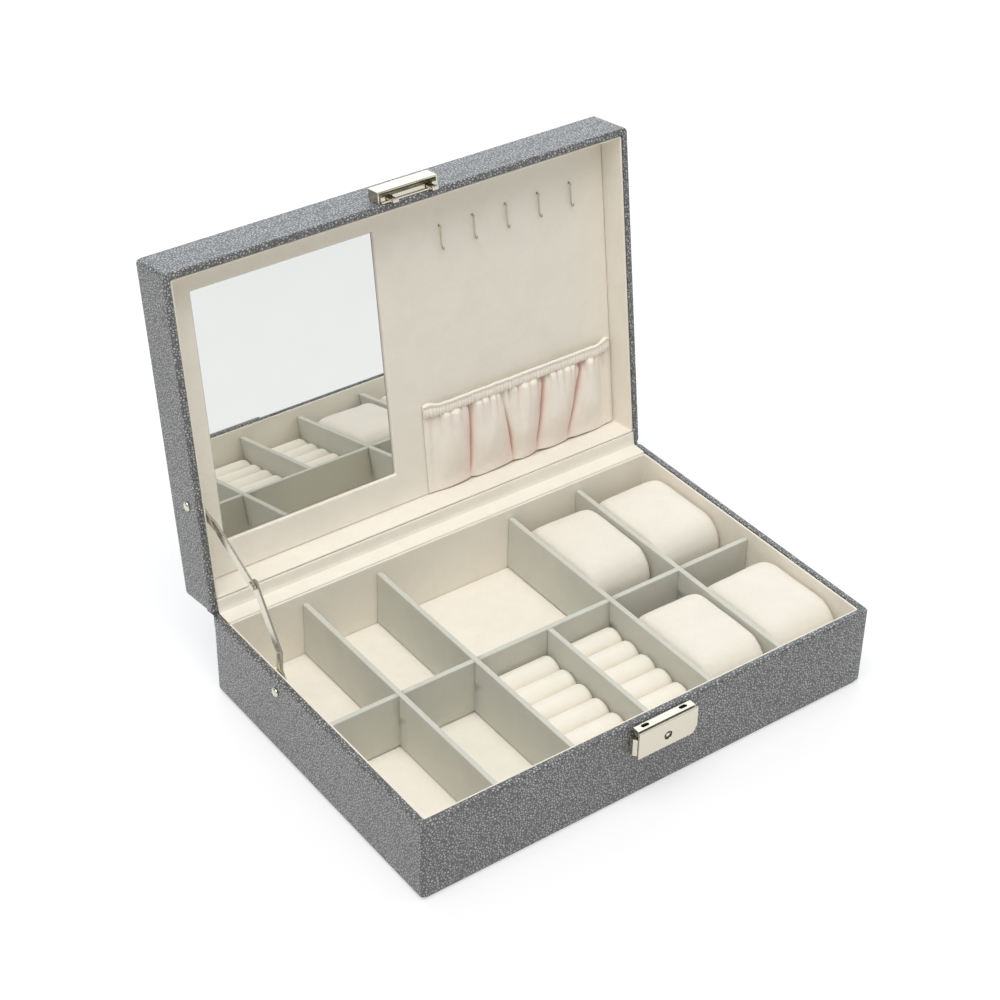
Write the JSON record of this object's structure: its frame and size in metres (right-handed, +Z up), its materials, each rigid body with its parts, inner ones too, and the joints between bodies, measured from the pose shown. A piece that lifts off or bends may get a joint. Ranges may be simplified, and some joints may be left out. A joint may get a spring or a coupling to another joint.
{
  "type": "jewelry box",
  "caption": "Rectangular lidded box for watches and jewellery: divided base with pillows and ring rolls, lid with mirror, hooks and gathered pocket, front lock and folding lid stay.",
  "frame": {"origin": "middle of the underside, which rests on a table", "axes": "+X to the right seen from the lock side, +Y towards the hinge, +Z up"},
  "size_m": [0.2816, 0.2482, 0.2409],
  "materials": {
    "leather": "grey pebbled leatherette with pale beads and dark grooves",
    "suede": "cream microsuede",
    "divider_suede": "grey-green microsuede over card",
    "board": "bare fibreboard, hidden",
    "underside_felt": "dark flat felt",
    "pocket_satin": "pink-cream satin, gathered",
    "nickel": "polished pale nickel",
    "mirror": "silvered flat glass"
  },
  "bodies": {
    "base": {"base_cover": "leather", "underside_sheet": "underside_felt", "base_bottom_board": "board", "base_front_board": "board", "base_rear_board": "board", "base_left_board": "board", "base_right_board": "board", "base_front_liner": "suede", "base_rear_liner": "suede", "base_left_liner": "suede", "base_right_liner": "suede", "floor_pad": "suede", "hinge_lining_base": "suede", "long_divider": "divider_suede", "cross_divider_1": "divider_suede", "cross_divider_2": "divider_suede", "cross_divider_3": "divider_suede", "cross_divider_4": "divider_suede", "ring_divider": "divider_suede", "ring_pad_left": "suede", "ring_pad_right": "suede", "lock_case": "nickel", "lock_front_plate": "nickel", "stay_base_rivet": "nickel"},
    "lid": {"lid_cover": "leather", "lid_top_board": "board", "lid_front_board": "board", "lid_rear_board": "board", "lid_left_board": "board", "lid_right_board": "board", "lid_front_liner": "suede", "lid_rear_liner": "suede", "lid_left_liner": "suede", "lid_right_liner": "suede", "hinge_lining_lid": "suede", "lid_panel": "suede", "mirror": "mirror", "necklace_hook_1": "nickel", "necklace_hook_2": "nickel", "necklace_hook_3": "nickel", "necklace_hook_4": "nickel", "necklace_hook_5": "nickel", "pocket": "pocket_satin", "pocket_elastic_casing": "pocket_satin", "catch_cover": "nickel", "catch_prongs": "nickel", "stay_lid_rivet": "nickel"},
    "stay_lower": {"stay_lower_arm": "nickel", "stay_knuckle_pin": "nickel"},
    "stay_upper": {"stay_upper_arm": "nickel", "stay_knuckle_cap": "nickel"},
    "lock_cam": {"lock_cam": "nickel"},
    "lock_bolt": {"lock_bolt": "nickel"},
    "pillow_back_inner": {"watch_pillow_back_inner": "suede"},
    "pillow_back_outer": {"watch_pillow_back_outer": "suede"},
    "pillow_front_inner": {"watch_pillow_front_inner": "suede"},
    "pillow_front_outer": {"watch_pillow_front_outer": "suede"}
  },
  "joints": [
    {"name": "lid_hinge", "type": "hinge", "parent": "base", "child": "lid", "pos_m": [0, 0.09425, 0.04825], "axis": [-1, 0, 0], "range_deg": [-97.7, 0]},
    {"name": "stay_lower_pivot", "type": "hinge", "parent": "base", "child": "stay_lower", "pos_m": [-0.134, 0.0335, 0.0398], "axis": [-1, 0, 0], "range_deg": [-112.83, 0]},
    {"name": "stay_upper_pivot", "type": "hinge", "parent": "lid", "child": "stay_upper", "pos_m": [-0.134, 0.11255, 0.10632], "axis": [-1, 0, 0], "range_deg": [0, 115.26]},
    {"name": "lock_cam_turn", "type": "hinge", "parent": "base", "child": "lock_cam", "pos_m": [0.001, -0.0975, 0.037], "axis": [0, 1, 0], "range_deg": [0, 90]},
    {"name": "lock_bolt_slide", "type": "slide", "parent": "base", "child": "lock_bolt", "axis": [1, 0, 0], "range_m": [0, 0.0014]},
    {"name": "pillow_back_inner_lift", "type": "slide", "parent": "base", "child": "pillow_back_inner", "axis": [0, 0, 1], "range_m": [0, 0.06]},
    {"name": "pillow_back_outer_lift", "type": "slide", "parent": "base", "child": "pillow_back_outer", "axis": [0, 0, 1], "range_m": [0, 0.06]},
    {"name": "pillow_front_inner_lift", "type": "slide", "parent": "base", "child": "pillow_front_inner", "axis": [0, 0, 1], "range_m": [0, 0.06]},
    {"name": "pillow_front_outer_lift", "type": "slide", "parent": "base", "child": "pillow_front_outer", "axis": [0, 0, 1], "range_m": [0, 0.06]}
  ],
  "couplings": [
    {"joint": "stay_lower_pivot", "follows": "lid_hinge", "ratio": 1.1543},
    {"joint": "stay_upper_pivot", "follows": "lid_hinge", "ratio": -1.1793},
    {"joint": "lock_cam_turn", "follows": "lock_bolt_slide", "rad_per_m": 1122}
  ]
}
